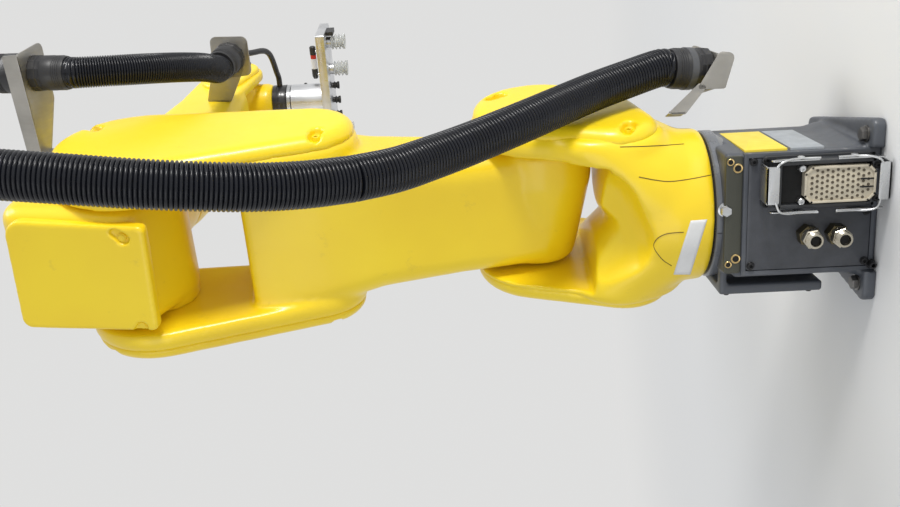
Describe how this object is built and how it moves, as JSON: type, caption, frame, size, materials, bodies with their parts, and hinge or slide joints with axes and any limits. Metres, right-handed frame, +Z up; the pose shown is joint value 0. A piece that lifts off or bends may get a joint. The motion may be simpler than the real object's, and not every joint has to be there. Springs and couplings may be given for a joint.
{
  "type": "industrial robot arm",
  "caption": "Six-axis articulated robot arm with a box base, turret, forked upper arm, slim forearm, outside hose loop and flat vacuum gripper plate.",
  "frame": {"origin": "centre of the base flange's underside, on the first axis", "axes": "+Z up along the first axis, away from the ground; -X towards the connector side of the base; the arm is turned 11 degrees clockwise about Z in the rest pose"},
  "size_m": [0.7815, 0.3341, 1.1398],
  "materials": {
    "yellow_paint": "bright yellow paint, semi-gloss, slightly worn",
    "grey_paint": "dark blue-grey paint, satin",
    "dark_coating": "dark powder coat, satin",
    "beige_plastic": "moulded, matt",
    "stainless": "stainless sheet, lightly brushed",
    "bright_steel": "turned steel",
    "brass": "nickel-plated brass",
    "black_plastic": "moulded, matt",
    "hose_plastic": "corrugated polyamide, matt",
    "cable_rubber": "smooth sheath",
    "aluminium": "milled, bright edges",
    "clear_silicone": "translucent silicone bellows",
    "cup_rubber": "soft rubber"
  },
  "bodies": {
    "base": {"base_casting": "grey_paint", "connector_panel": "dark_coating", "connector_housing": "dark_coating", "connector_insert": "beige_plastic", "connector_lever_lower": "stainless", "connector_lever_upper": "stainless", "air_fitting_1": "brass", "air_fitting_2": "brass"},
    "turret": {"turret_casting": "yellow_paint", "turret_cover_left": "yellow_paint", "turret_cover_right": "yellow_paint", "turret_bracket": "stainless", "turret_hose_coupling": "black_plastic", "dress_hose_lower": "hose_plastic"},
    "upper_arm": {"upper_arm_casting": "yellow_paint", "upper_arm_cover_left": "yellow_paint", "upper_arm_cover_right": "yellow_paint", "dress_hose_upper": "hose_plastic"},
    "elbow": {"elbow_housing": "yellow_paint", "elbow_rear_cover": "yellow_paint", "elbow_bracket": "stainless", "elbow_hose_coupling": "black_plastic", "elbow_rear_coupling": "black_plastic", "forearm_hose": "hose_plastic"},
    "forearm": {"forearm_casting": "yellow_paint", "wrist_cover_left": "yellow_paint", "wrist_cover_right": "yellow_paint", "forearm_bracket": "stainless", "forearm_hose_coupling": "black_plastic", "tool_cable": "cable_rubber"},
    "wrist": {"wrist_housing": "yellow_paint", "wrist_ring": "black_plastic"},
    "tool": {"tool_flange": "bright_steel", "tool_adapter": "aluminium", "gripper_plate": "aluminium", "suction_cup_1": "clear_silicone", "suction_cup_2": "clear_silicone", "suction_cup_3": "clear_silicone", "suction_cup_4": "clear_silicone", "small_cup_1": "cup_rubber", "small_cup_2": "cup_rubber", "small_cup_3": "cup_rubber", "end_block": "black_plastic", "vacuum_fitting": "black_plastic"}
  },
  "joints": [
    {"name": "j1_turn", "type": "hinge", "parent": "base", "child": "turret", "pos_m": [0, 0, 0], "axis": [0, 0, 1], "range_deg": [-159, 181]},
    {"name": "j2_shoulder", "type": "hinge", "parent": "turret", "child": "upper_arm", "pos_m": [0.04908, -0.00954, 0.33], "axis": [0.1908, 0.9816, 0], "range_deg": [-50, 75], "deforming": ["dress_hose_lower"]},
    {"name": "j3_elbow", "type": "hinge", "parent": "upper_arm", "child": "elbow", "pos_m": [-0.01103, 0.00214, 0.76572], "axis": [-0.1908, -0.9816, 0], "range_deg": [-30, 95], "deforming": ["dress_hose_upper"]},
    {"name": "j4_roll", "type": "hinge", "parent": "elbow", "child": "forearm", "pos_m": [-0.00654, 0.00127, 0.80042], "axis": [0.9732, -0.1892, -0.1305], "range_deg": [-90, 90], "deforming": ["forearm_hose"]},
    {"name": "j5_bend", "type": "hinge", "parent": "forearm", "child": "wrist", "pos_m": [0.40221, -0.07818, 0.7456], "axis": [-0.1908, -0.9816, 0], "range_deg": [-42.5, 207.5], "deforming": ["tool_cable"]},
    {"name": "j6_turn", "type": "hinge", "parent": "wrist", "child": "tool", "pos_m": [0.40221, -0.07818, 0.6656], "axis": [0, 0, -1], "range_deg": [-180, 180]}
  ]
}
